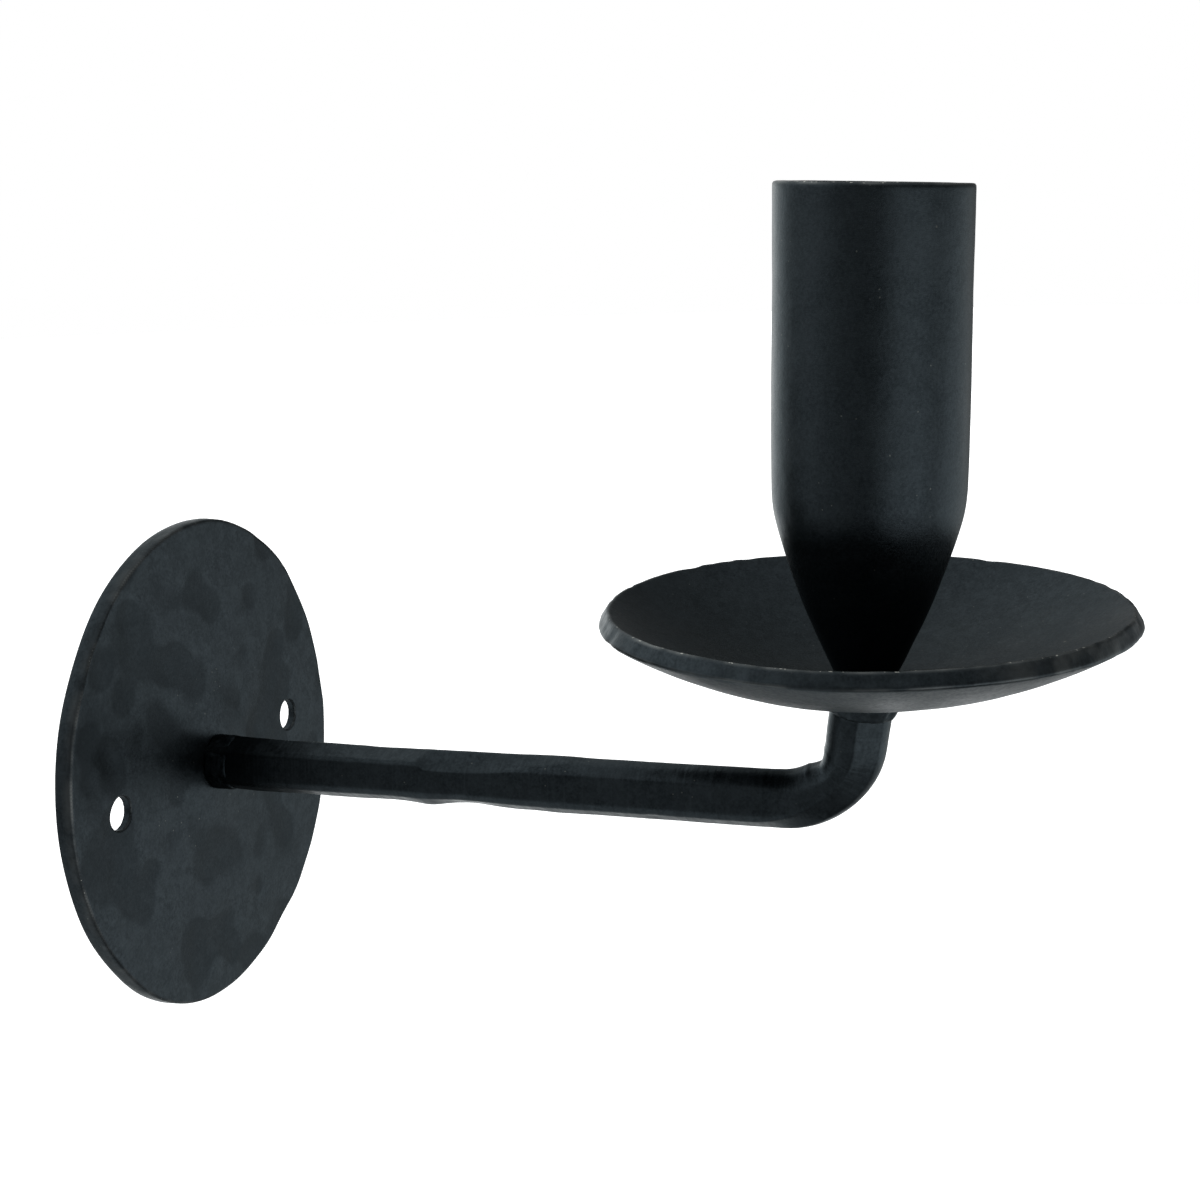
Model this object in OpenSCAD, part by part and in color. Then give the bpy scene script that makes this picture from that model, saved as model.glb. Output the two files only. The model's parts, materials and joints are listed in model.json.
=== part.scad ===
// Wall sconce for one taper candle: a wall plate, a bent bar, a drip pan and a tapered cup.
// Millimetres. The wall is the plane y = 0, the arm runs out along -Y and +Z is up.
// The origin is the centre of the wall plate's back.

/* [Wall plate] */
// Diameter of the round wall plate
plate_d = 76; // [72:1:90]
// Distance from the wall to the plate's front
plate_depth = 2.9; // [2.6:0.1:4]
// Thickness of the plate's sheet inside its turned rim
sheet_t = 1.5; // [1.2:0.1:1.8]
// Width of the turned rim that bears on the wall
rim_w = 2.2; // [1.5:0.1:3]
// Diameter of each of the two screw holes
screw_hole_d = 5.2; // [4:0.1:6]
// Distance between the two screw holes' centres
screw_spacing = 51; // [46:1:56]

/* [Arm] */
// Diameter of the bar where it leaves the wall plate
bar_root_d = 8; // [7.4:0.1:8.2]
// Diameter of the bar at the bend and in the leg
bar_d = 8.4; // [8.2:0.1:9]
// Width across the hammered flats of the straight bar
bar_flats = 7.8; // [7.4:0.1:8.2]
// Radius of the bar's centreline round the bend
bend_r = 10.4; // [9:0.1:12]
// Upward slope of the straight bar in degrees
arm_rise = 0.7; // [0:0.1:1.5]
// Outward lean of the short leg in degrees
leg_lean = 8; // [0:1:10]
// Distance from the wall to the candle's axis
reach = 106.6; // [95:0.1:120]

/* [Drip pan] */
// Largest diameter of the drip pan
pan_d = 72.8; // [66:0.1:80]
// Thickness of the drip pan's plate
pan_t = 2.6; // [2:0.1:3.2]
// Depth of the dish from its lower edge to the middle of its underside
pan_sag = 10.5; // [8:0.1:12]
// Height of the middle of the pan's underside above the origin
pan_z = 17.4; // [16:0.1:20]

/* [Candle cup] */
// Outside diameter of the candle cup
cup_d = 25.6; // [24.8:0.1:27]
// Inside diameter of the candle cup, a sliding fit on a 22.2 mm candle
cup_bore_d = 22.4; // [22.3:0.1:23]
// Height of the cup from its foot to its mouth
cup_h = 64.7; // [56:0.1:70]
// Height of the cup's drawn-in lower part
taper_h = 26; // [24:0.1:27]
// Thickness of the cup's closed foot
foot_t = 2; // [1.6:0.1:2.4]

/* [Hidden] */
$fn = 96;

// Finish colours of the blackened iron and of the weld metal
iron = [0.10, 0.12, 0.13];
weld_metal = [0.06, 0.07, 0.08];

// Wall plate
plate_r = plate_d / 2;
edge_bevel = 0.4;
hollow = plate_depth - sheet_t;
root_tenon_r = 3;

// Bar: the straight, the bend and the leg are solved so that the leg meets the pan's middle
bar_r = bar_d / 2;
span_y = reach + bend_r * (sin(arm_rise) - cos(leg_lean));
span_z = pan_z - bend_r * (cos(arm_rise) - sin(leg_lean));
straight = (span_y * cos(leg_lean) - span_z * sin(leg_lean)) / cos(arm_rise + leg_lean);
leg = (span_z * cos(arm_rise) - span_y * sin(arm_rise)) / cos(arm_rise + leg_lean);
bend_y = bend_r * sin(arm_rise) - straight * cos(arm_rise);
bend_z = bend_r * cos(arm_rise) + straight * sin(arm_rise);
leg_y = bend_y - bend_r * cos(leg_lean);
leg_z = bend_z - bend_r * sin(leg_lean);
flats_start = 9;
// The bend is swollen a little by its forging, and the straight and the leg run into it
swell = 0.06;
lap = 0.5;
tenon_r = 2.5;
rivet_r = 3;
rivet_h = 1;

// Drip pan: a plate of even thickness dished to a sphere, its edge square to its faces
pan_r = pan_d / 2;
dish_r = (pan_r * pan_r + pan_sag * pan_sag) / (2 * pan_sag);
dish_z = pan_z + dish_r;
rim_angle = asin(pan_r / dish_r);
rim_z = dish_z - (dish_r - pan_t) * cos(rim_angle);

// Weld beads
bead_r = 1.6;
bead_sink = 0.7;

// Candle cup: the wall draws in along a tight arc and then a wide one
cup_r = cup_d / 2;
wall = (cup_d - cup_bore_d) / 2;
foot_z = pan_z + pan_t;
mouth_z = foot_z + cup_h;
shoulder_z = foot_z + taper_h;
shoulder_arc = 22;
shoulder_turn = 16;
taper_arc = 115;
neck_r = cup_r - shoulder_arc * (1 - cos(shoulder_turn));
neck_z = shoulder_z - shoulder_arc * sin(shoulder_turn);
foot_turn = asin(sin(shoulder_turn) + (neck_z - foot_z) / taper_arc);
inner_reach = neck_z + taper_arc * sin(shoulder_turn) - foot_z - foot_t;
inner_turn = asin(inner_reach / (taper_arc - wall));
steps = 8;

// Point on the cup's tight arc, at an angle down from its shoulder and a depth into the wall
function shoulder_point(a, depth) = [
    cup_r - shoulder_arc * (1 - cos(a)) - depth * cos(a),
    shoulder_z - shoulder_arc * sin(a) + depth * sin(a)
];

// The same on the wide arc below it
function taper_point(a, depth) = [
    neck_r - taper_arc * (cos(shoulder_turn) - cos(a)) - depth * cos(a),
    neck_z - taper_arc * (sin(a) - sin(shoulder_turn)) + depth * sin(a)
];

// Side of the cup's drawn-in part from its shoulder down to a last angle
function cup_side(depth, last_turn) = concat(
    [for (i = [0:steps]) shoulder_point(shoulder_turn * i / steps, depth)],
    [for (i = [1:steps]) taper_point(shoulder_turn + (last_turn - shoulder_turn) * i / steps, depth)]
);

// Stands a shape drawn along +Z out from the wall, along -Y
module from_wall() {
    rotate([90, 0, 0]) children();
}

// Sphere that the pan's plate is dished to, at a depth into the plate
module dish_ball(depth) {
    translate([0, -reach, dish_z]) sphere(r = dish_r - depth, $fn = 240);
}

// Part, between two heights, of the cone that cuts the pan's edge: its tip is the ball's centre
module rim_cone(low, high) {
    translate([0, -reach, low]) cylinder(
        h = high - low,
        r1 = (dish_z - low) * tan(rim_angle),
        r2 = (dish_z - high) * tan(rim_angle),
        $fn = 180
    );
}

// Straight run of the leg, at its full length and a little past the pan's underside
module leg_bar() {
    translate([0, leg_y, leg_z]) rotate([leg_lean, 0, 0]) translate([0, 0, -lap])
        cylinder(h = leg + bar_r + lap, r = bar_r);
}

// Four slabs that hammer the flats of the straight bar, clear of its root and of the bend
module flats() {
    rotate([90 - arm_rise, 0, 0]) for (turn = [0:90:270])
        rotate([0, 0, turn]) translate([bar_flats / 2, -bar_d, flats_start])
            cube([bar_d, 2 * bar_d, straight - 2 * flats_start]);
}

// The whole bent bar, before its ends are cut to the faces that they meet
module bent_bar() {
    difference() {
        rotate([90 - arm_rise, 0, 0]) cylinder(h = straight + lap, r1 = bar_root_d / 2, r2 = bar_r);
        flats();
    }
    translate([0, bend_y, bend_z]) rotate([90, 0, 90]) rotate([0, 0, 180 + leg_lean])
        rotate_extrude(angle = 90 - arm_rise - leg_lean) translate([bend_r, 0]) circle(r = bar_r + swell);
    leg_bar();
}

// Bar with shoulders cut to the plate's front and to the pan's underside
module shouldered_bar() {
    difference() {
        bent_bar();
        translate([-bar_d, -plate_depth, -bar_d]) cube(2 * bar_d);
        dish_ball(0);
    }
}

module wall_plate() {
    color(iron) from_wall() difference() {
        union() {
            cylinder(h = plate_depth - edge_bevel, r = plate_r, $fn = 180);
            translate([0, 0, plate_depth - edge_bevel])
                cylinder(h = edge_bevel, r1 = plate_r, r2 = plate_r - edge_bevel, $fn = 180);
        }
        translate([0, 0, -1]) cylinder(h = hollow + 1, r = plate_r - rim_w, $fn = 180);
        translate([0, 0, -1]) cylinder(h = plate_depth + 2, r = root_tenon_r);
        for (side = [-1, 1])
            translate([side * screw_spacing / 2, 0, -1]) cylinder(h = plate_depth + 2, d = screw_hole_d);
    }
}

module arm() {
    color(iron) {
        shouldered_bar();
        from_wall() translate([0, 0, hollow]) cylinder(h = sheet_t + 1, r = root_tenon_r);
        translate([0, -reach, pan_z - 1]) cylinder(h = pan_t + foot_t + 1, r = tenon_r);
        translate([0, -reach, foot_z + foot_t]) cylinder(h = rivet_h, r1 = rivet_r, r2 = tenon_r);
    }
}

// Ring of weld metal on the plate, cut flat where it meets the plate's front
module plate_weld() {
    color(weld_metal) from_wall() translate([0, 0, plate_depth]) rotate_extrude() intersection() {
        translate([bar_root_d / 2, bead_sink]) circle(r = bead_r, $fn = 48);
        translate([bar_root_d / 2, 0]) square(2 * bead_r);
    }
}

module drip_pan() {
    color(iron) difference() {
        intersection() {
            dish_ball(0);
            rim_cone(pan_z - 1, rim_z + 1);
        }
        dish_ball(pan_t);
        translate([0, -reach, 0]) cylinder(h = foot_z + 1, r = tenon_r);
    }
}

// Ring of weld metal under the pan, trimmed to the pan's underside and round the leaning leg
module pan_weld() {
    color(weld_metal) difference() {
        translate([0, -reach, pan_z]) rotate_extrude() difference() {
            translate([bar_r, -bead_sink]) circle(r = bead_r, $fn = 48);
            translate([0, dish_r]) circle(r = dish_r, $fn = 240);
        }
        leg_bar();
    }
}

module candle_cup() {
    color(iron) translate([0, -reach, 0]) difference() {
        // The foot is trimmed to sit on the dished floor
        intersection() {
            rotate_extrude($fn = 120) polygon(concat(
                [[0, foot_z], [0, mouth_z], [cup_r, mouth_z]],
                cup_side(0, foot_turn)
            ));
            translate([0, 0, dish_z]) sphere(r = dish_r - pan_t, $fn = 240);
        }
        rotate_extrude($fn = 120) polygon(concat(
            [[0, foot_z + foot_t], [0, shoulder_z], [cup_r - wall, shoulder_z]],
            cup_side(wall, inner_turn)
        ));
        translate([0, 0, shoulder_z]) cylinder(h = cup_h, d = cup_bore_d, $fn = 120);
        translate([0, 0, foot_z - 1]) cylinder(h = foot_t + 2, r = tenon_r);
    }
}

wall_plate();
arm();
plate_weld();
drip_pan();
pan_weld();
candle_cup();
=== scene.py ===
"""Looks of the wall sconce: hand-forged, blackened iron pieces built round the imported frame.

Shapes are worked out in millimetres, in the part's own frame, and become metres in add_piece().
"""
import json
import math

import bmesh
import bpy
import numpy as np
from mathutils import Matrix, Vector
from mathutils.geometry import delaunay_2d_cdt


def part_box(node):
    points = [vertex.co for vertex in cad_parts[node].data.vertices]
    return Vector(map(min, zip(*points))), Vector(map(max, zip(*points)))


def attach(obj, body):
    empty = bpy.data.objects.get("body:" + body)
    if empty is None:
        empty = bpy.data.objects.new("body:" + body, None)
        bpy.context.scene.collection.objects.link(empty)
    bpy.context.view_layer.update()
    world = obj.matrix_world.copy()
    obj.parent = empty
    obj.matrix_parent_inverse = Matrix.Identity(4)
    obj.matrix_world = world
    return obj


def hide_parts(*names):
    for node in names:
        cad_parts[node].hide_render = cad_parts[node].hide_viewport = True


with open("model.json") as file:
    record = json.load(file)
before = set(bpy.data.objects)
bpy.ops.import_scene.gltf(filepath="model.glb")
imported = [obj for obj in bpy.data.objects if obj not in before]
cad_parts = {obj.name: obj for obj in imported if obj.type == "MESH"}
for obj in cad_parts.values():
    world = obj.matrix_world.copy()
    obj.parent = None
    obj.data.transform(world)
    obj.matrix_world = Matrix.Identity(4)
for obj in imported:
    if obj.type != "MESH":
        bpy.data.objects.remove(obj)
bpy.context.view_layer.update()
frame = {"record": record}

MM = 0.001


# ---------------------------------------------------------------- sizes taken from the frame
def node_box(node):
    """Lowest and highest corners of a CAD node, in millimetres."""
    low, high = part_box(node)
    return np.array(low) / MM, np.array(high) / MM


MOUNTS = {mount["name"]: mount for mount in frame["record"]["mounts"]}

plate_low, plate_high = node_box("wall_plate")
PLATE_R = (plate_high[0] - plate_low[0]) / 2
PLATE_FRONT = plate_low[1]
SCREW_X = MOUNTS["screw_holes"]["dims"]["pcd_mm"] / 2
SCREW_R = MOUNTS["screw_holes"]["dims"]["hole_r_mm"]

pan_low, pan_high = node_box("drip_pan")
PAN_R = (pan_high[0] - pan_low[0]) / 2
AXIS_Y = (pan_low[1] + pan_high[1]) / 2
PAN_UNDER = pan_low[2]

cup_low, cup_high = node_box("candle_cup")
CUP_R = (cup_high[0] - cup_low[0]) / 2
BORE_R = MOUNTS["candle_socket"]["dims"]["r_mm"]
FOOT_Z = cup_low[2]
MOUTH_Z = cup_high[2]
SHOULDER_Z = MOUTH_Z - MOUNTS["candle_socket"]["dims"]["length_mm"]

# ---------------------------------------------------------------- sizes of hidden and forged detail
SHEET = 1.5             # thickness of the plate's sheet
RIM_WIDTH = 2.2         # turned rim of the plate
ROOT_TENON_R = 3.0
TOP_TENON_R = 2.5
ROOT_R = 4.0            # bar radius at the wall plate
BAR_R = 4.2             # bar radius at the bend
BEND_R = 10.4
ARM_RISE = math.radians(0.7)
LEG_LEAN = math.radians(8)
PAN_SAG = 10.5          # lower edge of the pan down to the middle of its underside
PAN_T = FOOT_Z - PAN_UNDER
BOSS_H = 1.2            # the plate is drawn up round the bar's root
BOSS_R = 11.0           # how far out it reaches
DEEPEST_DENT = 0.20     # of the hammer, in the plate's front
SHOULDER_ARC = 22.0     # the cup draws in along a tight arc, then a wide one
SHOULDER_TURN = math.radians(16)
TAPER_ARC = 115.0
FOOT_T = 2.0            # closed foot of the cup
BEAD_ROOT = 0.25        # the weld beads start this far inside the bar
PAN_OVAL = 0.68         # how far the pan's outline is from round
PAN_OVAL_TURN = math.radians(37)
# Middle of the stretch of the pan's edge that is painted paler
PALER_STRETCH_TURN = math.radians(-124)
MOUTH_TILT = 0.56       # the cup's mouth was cut out of square
MOUTH_TURN = math.radians(82)
MERGE_GAP = 1e-6


# ---------------------------------------------------------------- noise and mesh helpers
def noise(points, grain, seed):
    """Smooth noise from -1 to 1 at each point; grain is the size of its blobs in millimetres."""
    table = np.random.default_rng(seed).uniform(-1, 1, 8192)
    q = np.asarray(points, float) / grain
    cell = np.floor(q).astype(np.int64)
    t = q - cell
    t = t ** 3 * (t * (t * 6 - 15) + 10)
    total = np.zeros(len(q))
    for corner in np.ndindex(2, 2, 2):
        c = cell + corner
        index = (c[:, 0] * 73856093 ^ c[:, 1] * 19349663 ^ c[:, 2] * 83492791) % len(table)
        total += table[index] * np.prod(np.where(np.array(corner) == 1, t, 1 - t), axis=1)
    return total


def rough(points, grain, seed, octaves=3):
    """Noise with finer and fainter layers on top."""
    layers = range(octaves)
    return sum(noise(points, grain / 2 ** k, seed + k) / 2 ** k for k in layers) / 1.5


def smooth_step(x, low, high):
    t = np.clip((x - low) / (high - low), 0, 1)
    return t * t * (3 - 2 * t)


def tent(x, middle, width):
    return np.clip(1 - np.abs(x - middle) / width, 0, 1)


def bell(x, middle, width):
    return np.exp(-((x - middle) / width) ** 2)


def add_piece(name, node, material, vertices, faces, attributes=None):
    """Closed, smooth-shaded mesh piece in place of a CAD node."""
    mesh = bpy.data.meshes.new(name)
    mesh.from_pydata((np.asarray(vertices) * MM).tolist(), [], faces)
    mesh.validate()
    for key, values in (attributes or {}).items():
        layer = mesh.attributes.new(key, "FLOAT", "POINT")
        layer.data.foreach_set("value", np.asarray(values, np.float32))
    shape = bmesh.new()
    shape.from_mesh(mesh)
    bmesh.ops.recalc_face_normals(shape, faces=shape.faces)
    shape.to_mesh(mesh)
    shape.free()
    mesh.shade_smooth()
    mesh.materials.append(material)
    piece = bpy.data.objects.new(name, mesh)
    bpy.context.scene.collection.objects.link(piece)
    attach(piece, "root")
    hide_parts(node)
    return piece


def ring_faces(rows, columns, closed_rows):
    """Faces of a grid whose columns wrap round, and whose rows wrap too when closed_rows."""
    faces = []
    for i in range(rows if closed_rows else rows - 1):
        below, above = i * columns, ((i + 1) % rows) * columns
        for j in range(columns):
            k = (j + 1) % columns
            faces.append((below + j, below + k, above + k, above + j))
    return faces


def grid_normals(grid, closed_rows):
    """Normals of a (rows, columns, 3) grid whose columns wrap round."""
    across = np.roll(grid, -1, 1) - np.roll(grid, 1, 1)
    if closed_rows:
        along = np.roll(grid, -1, 0) - np.roll(grid, 1, 0)
    else:
        along = np.gradient(grid, axis=0)
    n = np.cross(across, along)
    return n / np.maximum(np.linalg.norm(n, axis=2, keepdims=True), 1e-9)


def soft_loop(points, step, passes):
    """Closed outline resampled every step and smoothed, so that its corners come out rounded."""
    p = np.array(points + points[:1], float)
    reach = np.concatenate([[0], np.cumsum(np.linalg.norm(np.diff(p, axis=0), axis=1))])
    count = int(round(reach[-1] / step))
    s = np.arange(count) * reach[-1] / count
    loop = np.column_stack([np.interp(s, reach, p[:, k]) for k in (0, 1)])
    for _ in range(passes):
        loop = (np.roll(loop, 1, 0) + 2 * loop + np.roll(loop, -1, 0)) / 4
    return loop


def turned(loop, columns):
    """(rows, columns, 3) grid made by turning an (r, z) loop about the candle's axis."""
    angle = np.arange(columns) * 2 * math.pi / columns
    r, z = loop[:, 0][:, None], loop[:, 1][:, None]
    return np.stack([r * np.cos(angle), AXIS_Y + r * np.sin(angle), z + 0 * angle], axis=2)


def dents(points, centres, widths, depths):
    """Sum of round hammer dents; each is deepest at its centre and fades to nothing at its width."""
    total = np.zeros(len(points))
    for centre, width, depth in zip(centres, widths, depths):
        d = np.linalg.norm(points - centre, axis=1) / width
        near = d < 1
        total[near] += depth * (1 - d[near] ** 2) ** 2
    return total


# ---------------------------------------------------------------- wall plate
def plate_outline(angle):
    """Radius of the hand-cut outline: off centre, a little oval and rippled."""
    # Waves round the edge: count, size in millimetres, lag in degrees
    waves = [(1, 0.90, -27), (2, 0.30, -127), (4, 0.16, -91), (5, 0.11, -154), (9, 0.06, 20),
             (14, 0.04, 0)]
    return PLATE_R + 0.2 + sum(size * np.cos(k * angle - math.radians(lag)) for k, size, lag in waves)


def plate_points():
    """Points in the ideal disc: rings about the middle hole, and finer rings about the screw holes."""
    holes = [(SCREW_X, 0.0), (-SCREW_X, 0.0)]
    step = 0.52
    points = []
    edge_rings = PLATE_R - np.array([0, 0.12, 0.28, 0.5, 0.8])
    rings = np.concatenate([np.arange(ROOT_TENON_R, PLATE_R - 1.1, step), edge_rings])
    for index, r in enumerate(rings):
        count = 448 if r in edge_rings else max(int(2 * math.pi * r / step), 24)
        angle = (np.arange(count) + 0.5 * (index % 2)) * 2 * math.pi / count
        ring = np.column_stack([r * np.cos(angle), r * np.sin(angle)])
        clear = np.ones(count, bool)
        for hole in holes:
            clear &= np.hypot(ring[:, 0] - hole[0], ring[:, 1] - hole[1]) > SCREW_R + 1.3
        points.extend(ring[clear])
    for hole in holes:
        for gap in (0, 0.1, 0.24, 0.42, 0.66, 0.96):
            angle = np.arange(56) * 2 * math.pi / 56 + gap
            r = SCREW_R + gap
            points.extend(np.column_stack([hole[0] + r * np.cos(angle), hole[1] + r * np.sin(angle)]))
    return np.array(points), holes


def plate_hammering(flat):
    """How far the hammered front lies behind its plane."""
    rng = np.random.default_rng(11)
    count = 150
    centres = rng.uniform(-PLATE_R, PLATE_R, (count, 2))
    widths = rng.uniform(3.0, 7.5, count)
    depths = rng.uniform(0.25, 1.0, count) * DEEPEST_DENT
    spots = np.column_stack([flat, np.zeros(len(flat))])
    centres = np.column_stack([centres, np.zeros(count)])
    return dents(spots, centres, widths, depths) + 0.05 * rough(spots, 9, 3)


def edge_round(gap, radius):
    """Fall of a rounded edge at a distance in from it."""
    inside = np.clip(radius - gap, 0, radius)
    return radius - np.sqrt(radius ** 2 - inside ** 2)


def plate_triangles(flat, openings):
    """Joins the points, leaving the openings clear: the points in their new order and the faces."""
    flat, _, triangles = delaunay_2d_cdt([Vector(p) for p in flat], [], [], 0, MERGE_GAP)[:3]
    flat = np.array([tuple(p) for p in flat])
    kept = []
    for triangle in triangles:
        middle = flat[list(triangle)].mean(0)
        if all(math.dist(middle, centre) > radius * 0.98 for centre, radius in openings):
            kept.append(tuple(triangle))
    return flat, kept


def plate_front(flat, r, hammered, holes):
    """Depth and wear of the front: hammered, drawn up round the bar, its edges rounded."""
    gap = PLATE_R - r
    front = PLATE_FRONT + hammered + edge_round(gap, 0.35) - BOSS_H * bell(r, 0, BOSS_R)
    wear = bell(gap, 0.15, 0.18)
    for hole in holes:
        d = np.hypot(flat[:, 0] - hole[0], flat[:, 1] - hole[1]) - SCREW_R
        front += edge_round(d, 0.25) + 0.05 * bell(d, 0, 1.6)
        wear = np.maximum(wear, 0.5 * (1 - smooth_step(d, 0, 0.3)))
    return front, wear


def plate_back(flat, r):
    """Depth of the back, hollow inside the turned rim."""
    gap = PLATE_R - r
    step_in = smooth_step(gap, RIM_WIDTH - 0.5, RIM_WIDTH + 0.5)
    back = -(abs(PLATE_FRONT) - SHEET) * step_in - 0.25 * (1 - smooth_step(gap, 0, 0.5))
    return back + 0.05 * rough(np.column_stack([flat, back]), 5, 21) * step_in


def plate_layer(depth, points):
    return np.column_stack([points[:, 0], depth, points[:, 1]])


def plate_wall(flat, shaped, front, back, centre, radius, rows, total):
    """Wall between front and back round one edge: new vertices, their wear, and the faces."""
    outer = radius == PLATE_R
    away = np.hypot(flat[:, 0] - centre[0], flat[:, 1] - centre[1])
    loop = np.where(abs(away - radius) < 0.01)[0]
    turn = np.arctan2(flat[loop, 1] - centre[1], flat[loop, 0] - centre[0])
    loop = loop[np.argsort(turn)]
    size = len(loop)
    rings, wears, chain, faces = [], [], [list(loop)], []
    for row in range(1, rows):
        t = row / rows
        ring = plate_layer(front[loop] * (1 - t) + back[loop] * t, shaped[loop])
        if outer:
            bulge = 0.1 * math.sin(math.pi * t) + 0.06 * rough(ring, 2.2, 31)
            ring[:, [0, 2]] *= (1 + bulge / PLATE_R)[:, None]
        rings.append(ring)
        wears.append(np.full(size, (1 - t) * 0.5 if outer else 0.1))
        chain.append(list(range(total, total + size)))
        total += size
    chain.append([len(flat) + i for i in loop])
    for upper, lower in zip(chain, chain[1:]):
        for i in range(size):
            k = (i + 1) % size
            faces.append((upper[i], upper[k], lower[k], lower[i]))
    return rings, wears, faces


def wall_plate(material):
    flat, holes = plate_points()
    openings = [((0.0, 0.0), ROOT_TENON_R)] + [(hole, SCREW_R) for hole in holes]
    flat, kept = plate_triangles(flat, openings)
    r = np.hypot(flat[:, 0], flat[:, 1])
    angle = np.arctan2(flat[:, 1], flat[:, 0])
    warp = 1 + (plate_outline(angle) / PLATE_R - 1) * (r / PLATE_R) ** 3
    shaped = flat * warp[:, None]
    hammered = plate_hammering(flat)
    front, wear = plate_front(flat, r, hammered, holes)
    back = plate_back(flat, r)
    count = len(flat)
    vertices = [plate_layer(front, shaped), plate_layer(back, shaped)]
    wears = [wear, np.zeros(count)]
    faces = kept + [tuple(count + i for i in reversed(t)) for t in kept]
    # The outer edge, the middle hole and the two screw holes, with how many rows each wall has
    edges = [((0.0, 0.0), PLATE_R)] + openings
    for (centre, radius), rows in zip(edges, (7, 2, 4, 4)):
        total = sum(len(part) for part in vertices)
        wall = plate_wall(flat, shaped, front, back, centre, radius, rows, total)
        vertices += wall[0]
        wears += wall[1]
        faces += wall[2]
    vertices = np.vstack(vertices)
    struck = np.zeros(len(vertices))
    struck[:count] = hammered / DEEPEST_DENT
    return add_piece("forged_wall_plate", "wall_plate", material, vertices, faces,
                     {"wear": np.concatenate(wears), "patina": struck})


# ---------------------------------------------------------------- arm
def arm_path():
    """Centreline of the bar in the y-z plane, with its direction, every third of a millimetre."""
    span_y = -AXIS_Y + BEND_R * (math.sin(ARM_RISE) - math.cos(LEG_LEAN))
    span_z = PAN_UNDER - BEND_R * (math.cos(ARM_RISE) - math.sin(LEG_LEAN))
    both = math.cos(ARM_RISE + LEG_LEAN)
    straight = (span_y * math.cos(LEG_LEAN) - span_z * math.sin(LEG_LEAN)) / both
    leg = (span_z * math.cos(ARM_RISE) - span_y * math.sin(ARM_RISE)) / both
    turn = math.pi / 2 - ARM_RISE - LEG_LEAN
    bend = turn * BEND_R
    step = 0.33
    s = np.arange(0, straight + bend + leg, step)
    heading = ARM_RISE + np.clip(s - straight, 0, bend) / BEND_R
    y = -np.concatenate([[0], np.cumsum(np.cos((heading[1:] + heading[:-1]) / 2) * np.diff(s))])
    z = np.concatenate([[0], np.cumsum(np.sin((heading[1:] + heading[:-1]) / 2) * np.diff(s))])
    return s, y, z, heading, straight, bend


def facet(angle, facing, height):
    """Radius at which a flat facet at a height from the bar's middle cuts each angle."""
    c = np.cos(angle - facing)
    return np.where(c > 0.3, height / np.maximum(c, 0.3), 1e3)


def bar_section(s, angle, straight, bend):
    """Radius of the forged bar at each place along it and each angle round it.

    Angles run from +X (0) over the top of the bar (90) to the -X side (180).
    """
    base = ROOT_R + (BAR_R - ROOT_R) * smooth_step(s, 0, straight) + 0.14
    base += 0.16 * (1 - smooth_step(s, 12, 36)) + 0.09 * bell(s, 62, 6)
    leg = smooth_step(s, straight - 4, straight + 6)
    # The top facet was struck in two goes: the second is steeper, and dies out towards the bend
    second = smooth_step(s, 39.6, 41.0)
    dying = smooth_step(s, 46, 67)
    top_facing = np.radians(108 + 17 * second - 22 * dying)
    top_height = 0.895 - 0.035 * second + 0.135 * dying
    facets = [
        (top_facing, top_height),
        (np.radians(172), 0.885 + 0.10 * leg),
        (np.radians(238 - 30 * leg), 0.930 - 0.02 * leg),
        (np.radians(355), 0.90 + 0.08 * leg),
        (np.radians(300), 0.93 + 0.05 * leg),
        (np.radians(65), 0.93 + 0.05 * leg),
    ]
    cuts = [base + 0 * angle] + [facet(angle, facing, height * base) for facing, height in facets]
    sharp = 22.0
    total = sum(np.exp(-sharp * (cut - base)) for cut in cuts)
    radius = base - np.log(total) / sharp
    # The inside of the bend is nipped to a sharp crease, and its outside is drawn thin
    middle = straight + bend * 0.60
    inner = np.clip(np.sin(angle), 0, 1) ** 3
    radius -= inner * (0.75 * tent(s, middle, 3.2) + 0.15 * bell(s, middle, 4))
    radius -= 0.15 * np.clip(-np.sin(angle), 0, 1) * bell(s, middle, 7)
    # Lump and hollow left on the underside by the hammer
    below = np.clip(-np.sin(angle), 0, 1) ** 2
    radius += 0.34 * below * bell(s, 40.6, 2.4)
    radius -= 0.10 * below * bell(s, 34.5, 3) + 0.42 * below * bell(s, 47.6, 4.2)
    return radius


def bar_wear(flat, middle, up):
    """Unevenness and small hammer dents of the bar's surface, as heights along its radius."""
    worn = 0.045 * rough(flat, 6, 41) + 0.02 * rough(flat, 1.6, 47)
    rng = np.random.default_rng(5)
    count = 90
    spots = rng.integers(0, len(middle), count)
    turn = rng.uniform(0, 2 * math.pi, count)
    centres = middle[spots] + (np.cos(turn)[:, None] * np.array([1.0, 0, 0])
                               + np.sin(turn)[:, None] * up[spots]) * BAR_R
    return worn - dents(flat, centres, rng.uniform(1.5, 4.5, count), rng.uniform(0.02, 0.08, count))


def rivet_rings(angle):
    """Rings of the tenon up through the pan and the cup's foot, riveted over inside the cup."""
    foot_top = FOOT_Z + FOOT_T
    head = [(TOP_TENON_R, PAN_UNDER + 0.6), (TOP_TENON_R, foot_top), (3.0, foot_top + 0.02),
            (3.02, foot_top + 0.35), (2.7, foot_top + 0.8), (1.9, foot_top + 1.02),
            (0.9, foot_top + 1.1)]
    rings = []
    for r, h in head:
        height = np.full(len(angle), h)
        rings.append(np.column_stack([r * np.cos(angle), AXIS_Y + r * np.sin(angle), height]))
    return np.array(rings)


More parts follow.
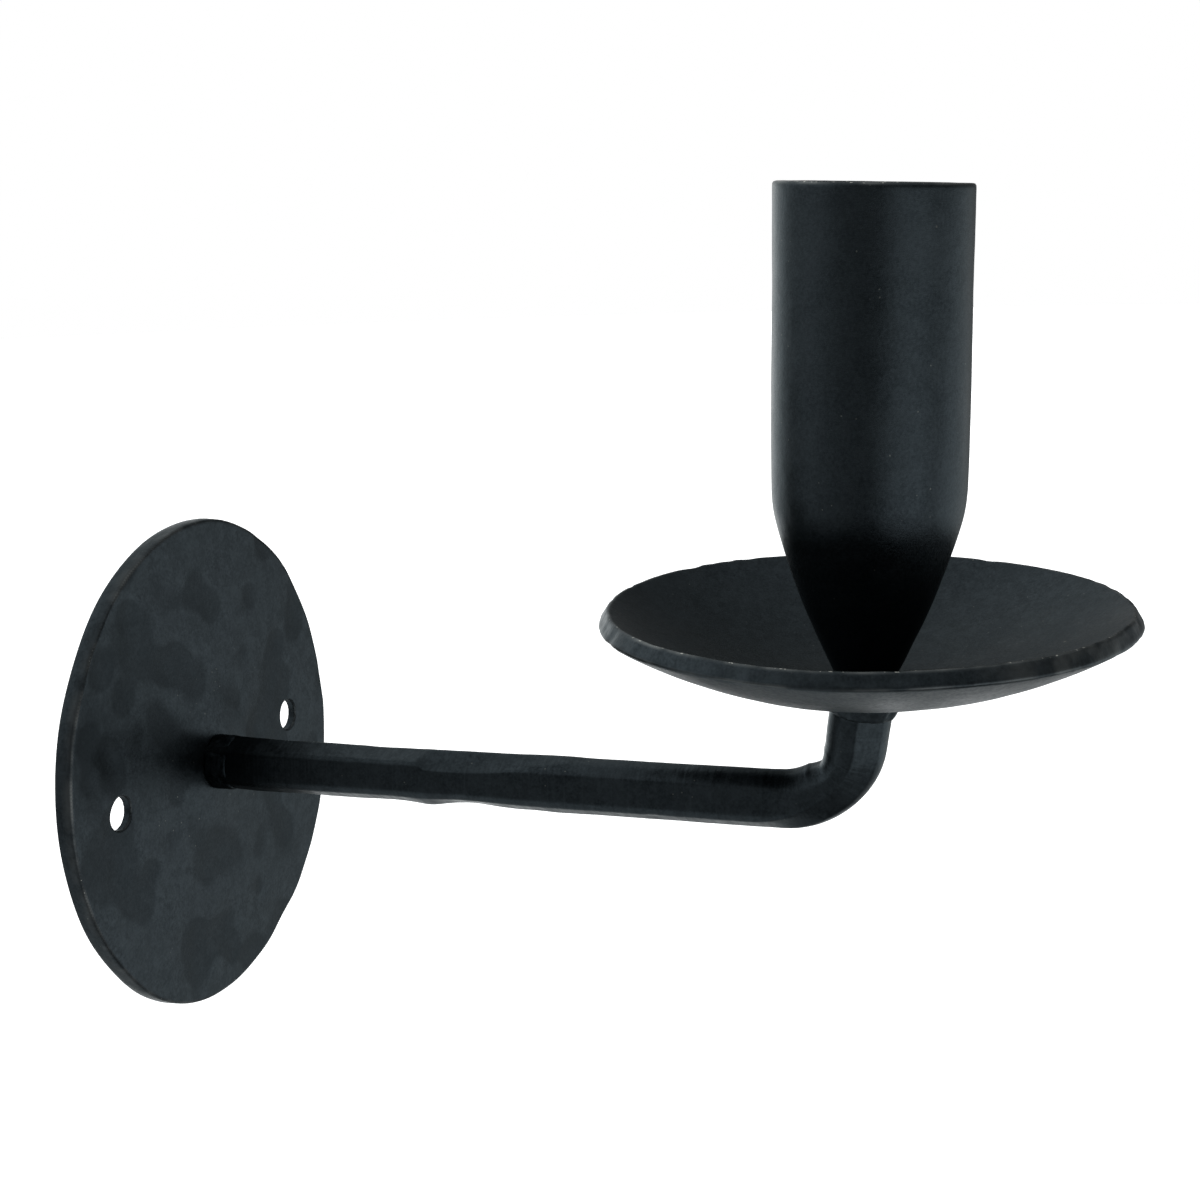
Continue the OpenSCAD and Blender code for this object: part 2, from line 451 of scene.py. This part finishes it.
def arm(material):
    s, y, z, heading, straight, bend = arm_path()
    columns = 128
    angle = np.arange(columns) * 2 * math.pi / columns
    S, A = np.meshgrid(s, angle, indexing="ij")
    radius = bar_section(S, A, straight, bend)
    root = S < abs(PLATE_FRONT)
    radius[root] = ROOT_TENON_R
    # The straight sags by a hair, and the leg stands a hair nearer the wall than it should
    z = z - 0.2 * smooth_step(s, 3, 15) * (1 - smooth_step(s, straight - 4, straight + 6))
    y = y + 0.22 * smooth_step(s, straight + bend - 4, s[-1] - 4)
    up = np.column_stack([np.zeros_like(s), np.sin(heading), np.cos(heading)])
    middle = np.column_stack([np.zeros_like(s), y, z])
    across = np.cos(A)[..., None] * np.array([1.0, 0, 0]) + np.sin(A)[..., None] * up[:, None, :]
    body = middle[:, None, :] + across * radius[..., None]
    worn = bar_wear(body.reshape(-1, 3), middle, up)
    worn[root.reshape(-1)] = 0
    body += across * worn.reshape(radius.shape)[..., None]
    first = int(np.searchsorted(s, abs(PLATE_FRONT) - SHEET))
    body = body[first:]

    head = rivet_rings(angle)
    grid = np.concatenate([body, head])
    rows = len(grid)
    faces = ring_faces(rows, columns, False)
    faces.append(tuple(range(columns)))
    faces.append(tuple((rows - 1) * columns + j for j in range(columns)))
    along = np.concatenate([s[first:], np.full(len(head), s[-1])])
    scorched = 1 - smooth_step(along, 4, 24)
    return add_piece("forged_arm", "arm", material, grid.reshape(-1, 3), faces,
                     {"along": np.repeat(along, columns) * MM, "patina": np.repeat(scorched, columns)})


# ---------------------------------------------------------------- drip pan
def drip_pan(material):
    dish = (PAN_R ** 2 + PAN_SAG ** 2) / (2 * PAN_SAG)
    centre = PAN_UNDER + dish
    edge_turn = math.asin(PAN_R / dish)

    def across(depth):
        """Points from the tenon hole out to the square-cut edge, at a depth into the plate."""
        ball = dish - depth
        turns = np.linspace(math.asin(TOP_TENON_R / ball), edge_turn, 60)
        return [(ball * math.sin(a), centre - ball * math.cos(a)) for a in turns]

    loop = soft_loop(across(0) + across(PAN_T)[::-1], 0.30, 2)
    columns = 384
    grid = turned(loop, columns)
    normals = grid_normals(grid, True)
    flat = grid.reshape(-1, 3)
    r = np.hypot(flat[:, 0], flat[:, 1] - AXIS_Y)
    height = flat[:, 2]
    turn = np.arctan2(flat[:, 1] - AXIS_Y, flat[:, 0])
    out = np.hypot(r, height - centre)
    depth = dish - out
    edge_gap = (edge_turn - np.arctan2(r, centre - height)) * out
    at_edge = 1 - smooth_step(edge_gap, 0.3, 2.0)
    amount = 0.05 * rough(flat, 9, 61) + 0.02 * rough(flat, 2.5, 67)
    amount -= 0.04 * at_edge * np.abs(rough(flat, 1.7, 71))
    rng = np.random.default_rng(23)
    count = 90
    where = rng.uniform(0, 2 * math.pi, count)
    sunk = rng.uniform(0, PAN_T, count)
    ball = dish - sunk
    nicks = np.column_stack([ball * math.sin(edge_turn) * np.cos(where),
                             AXIS_Y + ball * math.sin(edge_turn) * np.sin(where),
                             centre - ball * math.cos(edge_turn)])
    amount -= dents(flat, nicks, rng.uniform(0.8, 2.2, count), rng.uniform(0.03, 0.12, count))
    flat = flat + normals.reshape(-1, 3) * amount[:, None]
    # Hand dished: a little oval, and the rim rises and falls
    oval = PAN_OVAL * np.cos(2 * (turn + PAN_OVAL_TURN)) * smooth_step(r, 8, PAN_R)
    flat[:, 0] += oval * np.cos(turn)
    flat[:, 1] += oval * np.sin(turn)
    wave = 0.10 * np.cos(2 * turn - 2.3) + 0.22 * np.cos(turn - 2.0) + 0.05 * np.cos(7 * turn)
    flat[:, 2] += wave * smooth_step(r, 12, PAN_R)
    top_corner = bell(edge_gap, 0.15, 0.35) * bell(depth, PAN_T - 0.15, 0.35)
    low_corner = bell(edge_gap, 0.15, 0.35) * bell(depth, 0.15, 0.35)
    # One stretch of the edge, away from the wall and to the left, is painted paler
    paler_stretch = (1 - smooth_step(edge_gap, 0.15, 0.5)) * bell(turn, PALER_STRETCH_TURN, 0.42)
    # The wear mask here also carries that stretch of the edge painted paler
    wear = np.maximum(np.maximum(top_corner, 0.6 * low_corner), 0.8 * paler_stretch)
    return add_piece("dished_drip_pan", "drip_pan", material, flat, ring_faces(len(loop), columns, True),
                     {"wear": wear})


# ---------------------------------------------------------------- candle cup
def cup_side(depth, lowest, count):
    """The drawn-in side of the cup at a depth into its wall, from the shoulder down."""
    neck_r = CUP_R - SHOULDER_ARC * (1 - math.cos(SHOULDER_TURN))
    neck_z = SHOULDER_Z - SHOULDER_ARC * math.sin(SHOULDER_TURN)
    rise = neck_z + TAPER_ARC * math.sin(SHOULDER_TURN) - lowest
    last = math.asin(rise / (TAPER_ARC - depth))
    points = []
    for a in np.linspace(0, SHOULDER_TURN, count):
        points.append((CUP_R - SHOULDER_ARC * (1 - math.cos(a)) - depth * math.cos(a),
                       SHOULDER_Z - SHOULDER_ARC * math.sin(a) + depth * math.sin(a)))
    for a in np.linspace(SHOULDER_TURN, last, count)[1:]:
        drop = TAPER_ARC * (math.sin(a) - math.sin(SHOULDER_TURN))
        points.append((neck_r - TAPER_ARC * (math.cos(SHOULDER_TURN) - math.cos(a)) - depth * math.cos(a),
                       neck_z - drop + depth * math.sin(a)))
    return points


def candle_cup(material):
    wall = CUP_R - BORE_R
    outside = cup_side(0, FOOT_Z, 24)
    inside = cup_side(wall, FOOT_Z + FOOT_T, 24)
    loop = [(TOP_TENON_R, FOOT_Z)] + outside[::-1] + [(CUP_R, MOUTH_Z), (BORE_R, MOUTH_Z)] + inside
    loop += [(TOP_TENON_R, FOOT_Z + FOOT_T)]
    loop = soft_loop(loop, 0.4, 1)
    columns = 208
    grid = turned(loop, columns)
    normals = grid_normals(grid, True)
    flat = grid.reshape(-1, 3)
    height = flat[:, 2]
    tapered = 1 - smooth_step(height, SHOULDER_Z - 6, SHOULDER_Z + 6)
    amount = 0.035 * rough(flat, 8, 81) + 0.015 * rough(flat, 2.2, 85)
    amount += tapered * 0.05 * rough(flat, 5, 91)
    amount += 0.14 * bell(height, 51, 9) + 0.08 * bell(height, 61, 8)
    flat = flat + normals.reshape(-1, 3) * amount[:, None]
    # The mouth was cut a little out of square, so it is highest towards the wall
    turn = np.arctan2(flat[:, 1] - AXIS_Y, flat[:, 0])
    flat[:, 2] += MOUTH_TILT * np.cos(turn - MOUTH_TURN) * smooth_step(height, MOUTH_Z - 10, MOUTH_Z)
    wear = bell(height, MOUTH_Z, 0.3)
    return add_piece("drawn_candle_cup", "candle_cup", material, flat, ring_faces(len(loop), columns, True),
                     {"wear": wear})


# ---------------------------------------------------------------- weld beads
def weld_bead(name, node, material, middle, outward, bar_radius, reach, height, seed):
    """Lumpy ring of weld metal: outward is the way it runs off its face, along the bar, reach how
    far it stands off the bar and height how far it climbs it."""
    columns, rows = 144, 26
    outward = Vector(outward).normalized()
    side = Vector((1, 0, 0))
    up = outward.cross(side)
    angle = np.arange(columns) * 2 * math.pi / columns
    rng = np.random.default_rng(seed)
    ripple = 1 + 0.10 * np.cos(3 * angle + rng.uniform(0, 6)) + 0.07 * np.cos(8 * angle + rng.uniform(0, 6))
    ripple += 0.05 * np.cos(17 * angle)
    t = np.linspace(0, 1, rows)
    grid = np.zeros((rows, columns, 3))
    # A fillet that is convex near its toe and creeps up the bar
    inside = bar_radius - BEAD_ROOT
    for i, u in enumerate(t):
        a = u * math.pi / 2
        swell = reach * math.cos(a) ** 0.9
        climb = height * math.sin(a) ** 1.1
        r = inside + (swell + BEAD_ROOT) * ripple
        if u == 1:
            r = np.full(columns, inside)
        around = np.cos(angle)[:, None] * np.array(side) + np.sin(angle)[:, None] * np.array(up)
        lift = np.array(outward) * climb * (0.9 + 0.1 * ripple)[:, None]
        grid[i] = np.array(middle) + around * r[:, None] + lift
    normals = grid_normals(grid, False)
    flat = grid.reshape(-1, 3)
    amount = 0.12 * rough(flat, 1.6, seed) + 0.05 * rough(flat, 0.6, seed + 5)
    fade = np.repeat(np.sin(np.clip(t * 1.2, 0, 1) * math.pi) ** 0.5, columns)
    flat = flat + normals.reshape(-1, 3) * (amount * fade)[:, None]
    inner = np.array([np.array(middle) + (math.cos(a) * np.array(side) + math.sin(a) * np.array(up))
                      * inside for a in angle])
    vertices = np.vstack([flat, inner])
    faces = ring_faces(rows, columns, False)
    last, start = (rows - 1) * columns, rows * columns
    for j in range(columns):
        k = (j + 1) % columns
        faces.append((last + j, last + k, start + k, start + j))
        faces.append((start + j, start + k, k, j))
    return add_piece(name, node, material, vertices, faces, {"wear": np.zeros(len(vertices))})


# ---------------------------------------------------------------- materials
IRON_TONES = (0.0092, 0.0119, 0.0137), (0.0150, 0.0188, 0.0212)
SCORCHED_TONES = (0.002, 0.003, 0.004), IRON_TONES[0]
WORN_TONE = (0.075, 0.080, 0.080, 1)
BARE_TONE = (0.34, 0.34, 0.31, 1)
GRAZING_TINT = (0.60, 0.61, 0.61, 1)
# Pale specks: spacing in millimetres, size as a share of it, share left out, colour
PALE_SPECKS = ((3.4, 0.045, 0.80, (0.20, 0.20, 0.17)), (1.5, 0.06, 0.60, (0.07, 0.075, 0.07)))


class Nodes:
    """Short way to write a material's node tree."""

    def __init__(self, name):
        self.material = bpy.data.materials.new(name)
        self.material.use_nodes = True
        self.tree = self.material.node_tree
        self.shader = self.tree.nodes["Principled BSDF"]

    def add(self, kind, links=None, **settings):
        node = self.tree.nodes.new(kind)
        for key, value in settings.items():
            setattr(node, key, value)
        for socket, value in (links or {}).items():
            if isinstance(value, bpy.types.NodeSocket):
                self.tree.links.new(value, node.inputs[socket])
            else:
                node.inputs[socket].default_value = value
        return node

    def set(self, socket, value):
        if isinstance(value, bpy.types.NodeSocket):
            self.tree.links.new(value, self.shader.inputs[socket])
        else:
            self.shader.inputs[socket].default_value = value

    def noise(self, place, grain, detail=3.0, stretch=None, rough=0.55):
        """Noise whose blobs are about grain millimetres across."""
        if stretch:
            place = self.add("ShaderNodeMapping", {"Vector": place, "Scale": stretch}).outputs[0]
        settings = {"Vector": place, "Scale": 1 / (grain * MM), "Detail": detail, "Roughness": rough}
        return self.add("ShaderNodeTexNoise", settings).outputs["Fac"]

    def band(self, value, low, high, to_low=0.0, to_high=1.0):
        """Value mapped from one range to another, with no overshoot."""
        settings = {"Value": value, "From Min": low, "From Max": high, "To Min": to_low, "To Max": to_high}
        return self.add("ShaderNodeMapRange", settings, clamp=True).outputs[0]

    def math(self, operation, a, b):
        return self.add("ShaderNodeMath", {0: a, 1: b}, operation=operation).outputs[0]

    def bump(self, height, strength, distance, normal=None):
        settings = {"Height": height, "Strength": strength, "Distance": distance}
        if normal is not None:
            settings["Normal"] = normal
        return self.add("ShaderNodeBump", settings).outputs[0]

    def mix(self, factor, a, b):
        node = self.tree.nodes.new("ShaderNodeMix")
        node.data_type = "RGBA"
        for socket, value in ((node.inputs[0], factor), (node.inputs[6], a), (node.inputs[7], b)):
            if isinstance(value, bpy.types.NodeSocket):
                self.tree.links.new(value, socket)
            else:
                socket.default_value = value
        return node.outputs[2]


def blackened_iron(name, mottle, tones, shine, strokes, worn=1.0, strike=0.3, cloudy=0.7):
    """Waxed black iron. mottle is the size of its patches in millimetres, tones its dark and pale
    colours, shine its lowest and highest roughness, strokes the stretch of its fine marks (None on
    the bar, whose marks run round it), worn how far its edges are rubbed, strike how deep the marks
    are and cloudy how much its tone varies."""
    n = Nodes(name)
    place = n.add("ShaderNodeTexCoord").outputs["Object"]
    patches = n.noise(place, mottle, 4.0)
    cloud = n.noise(place, 1.8, 4.0, rough=0.7)
    grain = n.noise(place, 0.45, 3.0, rough=0.7)
    if strokes is None:
        along = n.add("ShaderNodeAttribute", attribute_name="along").outputs["Fac"]
        part = n.add("ShaderNodeSeparateXYZ", {"Vector": place})
        hoop = n.add("ShaderNodeCombineXYZ", {0: along, 1: n.math("MULTIPLY", part.outputs[0], 0.15)})
        marks = n.noise(hoop.outputs[0], 0.6, 3.0)
    else:
        marks = n.noise(place, 0.5, 2.0, stretch=strokes)
    dark, pale = tones
    tone = n.mix(n.band(patches, 0.34, 0.68), (*dark, 1), (*pale, 1))
    tone = n.mix(n.band(cloud, 0.42, 0.62, 0.0, cloudy), tone, (*[c * 1.25 for c in pale], 1))
    tone = n.mix(n.band(grain, 0.35, 0.75, 0.0, 0.45), tone, (*[c * 1.7 for c in pale], 1))
    tone = n.mix(n.band(marks, 0.55, 0.75, 0.0, 0.4), tone, (*[c * 1.8 for c in pale], 1))
    # The patina stays darker in the hammer's dents and where welding scorched the bar
    patina = n.add("ShaderNodeAttribute", attribute_name="patina").outputs["Fac"]
    tone = n.mix(n.band(patina, 0.40, 0.65, 0.0, 0.5), tone, (*[c * 0.75 for c in dark], 1))
    # Bare metal where edges have rubbed, and a few pale specks; on the pan the same mask also paints one
    # stretch of its edge paler
    edge = n.add("ShaderNodeAttribute", attribute_name="wear").outputs["Fac"]
    uneven = n.band(n.noise(place, 5.0, 2.0), 0.40, 0.62, 0.15, 1.0)
    line = n.math("MULTIPLY", n.band(edge, 0.2, 0.9), uneven)
    tone = n.mix(n.math("MULTIPLY", line, worn), tone, WORN_TONE)
    spots = n.band(n.noise(place, 0.55, 1.0), 0.64, 0.70)
    bare = n.math("MULTIPLY", n.band(edge, 0.82, 0.95), spots)
    tone = n.mix(n.math("MULTIPLY", bare, worn), tone, BARE_TONE)
    for spacing, size, share, colour in PALE_SPECKS:
        settings = {"Vector": place, "Scale": 1 / (spacing * MM), "Randomness": 1.0}
        dust = n.add("ShaderNodeTexVoronoi", settings)
        speck = n.band(dust.outputs["Distance"], size, size * 1.5, 0.7, 0.0)
        lucky = n.band(dust.outputs["Color"], share, share + 0.04)
        tone = n.mix(n.math("MULTIPLY", speck, lucky), tone, (*colour, 1))
    n.set("Base Color", tone)
    shiny = n.band(patches, 0.3, 0.7, shine[0], shine[1])
    shiny = n.math("ADD", shiny, n.band(marks, 0.4, 0.7, -0.03, 0.05))
    n.set("Roughness", shiny)
    n.set("Metallic", 1.0)
    n.set("Specular Tint", GRAZING_TINT)
    low = n.bump(n.noise(place, 1.6, 3.0), 0.25, 0.00012)
    fine = n.bump(grain, 0.35, 0.00004, low)
    n.set("Normal", n.bump(marks, strike, 0.00004, fine))
    return n.material


def iron_materials():
    """Materials of the plate, the bar, the pan, the cup, the bead at the root and the pan's bead."""
    iron, even = IRON_TONES, (1, 1, 1)
    return (
        blackened_iron("plate_iron", 7.0, iron, (0.42, 0.52), even),
        blackened_iron("arm_iron", 5.0, iron, (0.34, 0.44), None, strike=1.0),
        blackened_iron("pan_iron", 8.0, iron, (0.38, 0.48), (1, 1, 0.2), strike=0.4),
        blackened_iron("cup_iron", 9.0, iron, (0.35, 0.42), (1, 1, 6.0), cloudy=0.35),
        blackened_iron("root_weld_iron", 2.0, SCORCHED_TONES, (0.40, 0.55), even, worn=0.0),
        blackened_iron("pan_weld_iron", 2.0, iron, (0.40, 0.55), even, worn=0.0),
    )


# ---------------------------------------------------------------- studio
CAMERA_AZIMUTH, CAMERA_PITCH, CAMERA_ROLL = -71.732, 16.254, -1.755
CAMERA_BACK, CAMERA_RIGHT, CAMERA_UP = 270.46, 64.356, 9.406
LENS, LENS_SHIFT = 50.87, 0.0833
FLOOR_REACH, FLOOR_Z = 6.0, -0.30


def toward(azimuth, elevation):
    """Unit vector from the sconce towards an azimuth and an elevation, in degrees."""
    a, e = math.radians(azimuth), math.radians(elevation)
    return Vector((math.sin(a) * math.cos(e), -math.cos(a) * math.cos(e), math.sin(e)))


def studio_floor():
    """Pale floor well below the sconce. It gives the sconce no light and no reflection."""
    n = Nodes("pale_floor")
    n.set("Base Color", (0.86, 0.86, 0.86, 1))
    n.set("Roughness", 0.9)
    n.set("Emission Color", (1, 1, 1, 1))
    n.set("Emission Strength", 0.62)
    shape = bmesh.new()
    bmesh.ops.create_circle(shape, cap_ends=True, segments=96, radius=FLOOR_REACH)
    mesh = bpy.data.meshes.new("floor")
    shape.to_mesh(mesh)
    shape.free()
    mesh.materials.append(n.material)
    floor = bpy.data.objects.new("floor", mesh)
    floor.location.z = FLOOR_Z
    floor.visible_diffuse = floor.visible_glossy = False
    bpy.context.scene.collection.objects.link(floor)


# Soft lights of the studio: azimuth, elevation, inner and outer half-angle in degrees, brightness
SOFT_LIGHTS = [
    (0, 90, 20, 60, 0.8),
    (-160, 25, 5, 45, 1.6),
    (140, 25, 5, 45, 1.6),
    (-103, -15, 5, 35, 0.3),
    (-40, -15, 5, 35, 2.0),
    (0, -15, 5, 35, 1.2),
    (40, -15, 5, 35, 2.4),
    (140, -15, 5, 35, 2.9),
    (-150, -50, 5, 45, 1.3),
    (100, -50, 5, 45, 1.3),
]
ROOM_LIGHT = 0.32


def studio_world():
    """White to the camera; the light it gives comes from wide soft sources in an even room."""
    world = bpy.data.worlds.new("studio")
    world.use_nodes = True
    tree = world.node_tree
    tree.nodes.clear()
    place = tree.nodes.new("ShaderNodeTexCoord")
    total = None
    for azimuth, elevation, inner, outer, brightness in SOFT_LIGHTS:
        facing = tree.nodes.new("ShaderNodeVectorMath")
        facing.operation = "DOT_PRODUCT"
        facing.inputs[1].default_value = toward(azimuth, elevation)
        tree.links.new(place.outputs["Generated"], facing.inputs[0])
        glow = tree.nodes.new("ShaderNodeMapRange")
        glow.interpolation_type = "SMOOTHSTEP"
        glow.inputs["From Min"].default_value = math.cos(math.radians(outer))
        glow.inputs["From Max"].default_value = math.cos(math.radians(inner))
        glow.inputs["To Max"].default_value = brightness
        tree.links.new(facing.outputs["Value"], glow.inputs["Value"])
        join = tree.nodes.new("ShaderNodeMath")
        # The first source is added to the room light, and each later one to the sum so far
        join.inputs[1].default_value = ROOM_LIGHT
        tree.links.new(glow.outputs[0], join.inputs[0])
        if total is not None:
            tree.links.new(total, join.inputs[1])
        total = join.outputs[0]
    lit = tree.nodes.new("ShaderNodeBackground")
    lit.inputs["Color"].default_value = (0.98, 1.0, 1.01, 1)
    tree.links.new(total, lit.inputs["Strength"])
    seen = tree.nodes.new("ShaderNodeBackground")
    seen.inputs["Color"].default_value = (1, 1, 1, 1)
    ray = tree.nodes.new("ShaderNodeLightPath")
    mix = tree.nodes.new("ShaderNodeMixShader")
    tree.links.new(ray.outputs["Is Camera Ray"], mix.inputs[0])
    tree.links.new(lit.outputs[0], mix.inputs[1])
    tree.links.new(seen.outputs[0], mix.inputs[2])
    out = tree.nodes.new("ShaderNodeOutputWorld")
    tree.links.new(mix.outputs[0], out.inputs[0])
    bpy.context.scene.world = world


def camera():
    """Camera close to the sconce, from the left and a little above."""
    azimuth, roll = math.radians(CAMERA_AZIMUTH), math.radians(CAMERA_ROLL)
    back = toward(CAMERA_AZIMUTH, CAMERA_PITCH)
    level = Vector((math.cos(azimuth), math.sin(azimuth), 0))
    upright = back.cross(level)
    right = math.cos(roll) * level + math.sin(roll) * upright
    up = -math.sin(roll) * level + math.cos(roll) * upright
    lens = bpy.data.cameras.new("camera")
    lens.lens = LENS
    lens.sensor_width = 36
    lens.shift_y = LENS_SHIFT
    lens.clip_start = 0.01
    view = bpy.data.objects.new("camera", lens)
    turn = Matrix((right, up, back)).transposed().to_4x4()
    place = (back * CAMERA_BACK + right * CAMERA_RIGHT + up * CAMERA_UP) * MM
    view.matrix_world = Matrix.Translation(place) @ turn
    bpy.context.scene.collection.objects.link(view)
    bpy.context.scene.camera = view


# ---------------------------------------------------------------- the whole scene
def build():
    plate_iron, arm_iron, pan_iron, cup_iron, root_iron, weld_iron = iron_materials()
    wall_plate(plate_iron)
    arm(arm_iron)
    drip_pan(pan_iron)
    candle_cup(cup_iron)
    root_middle = (0, PLATE_FRONT - BOSS_H + 0.1, -0.1)
    weld_bead("plate_weld_bead", "plate_weld", root_iron, root_middle, (0, -1, 0),
              ROOT_R + 0.1, reach=0.25, height=3.4, seed=7)
    leg_middle = (0, AXIS_Y + 0.2, PAN_UNDER + 0.15)
    lean = Vector((0, math.sin(LEG_LEAN), -math.cos(LEG_LEAN)))
    weld_bead("pan_weld_bead", "pan_weld", weld_iron, leg_middle, lean,
              BAR_R + 0.1, reach=0.8, height=3.2, seed=19)


bpy.context.scene.view_settings.view_transform = "Standard"
camera()
build()
studio_floor()
studio_world()
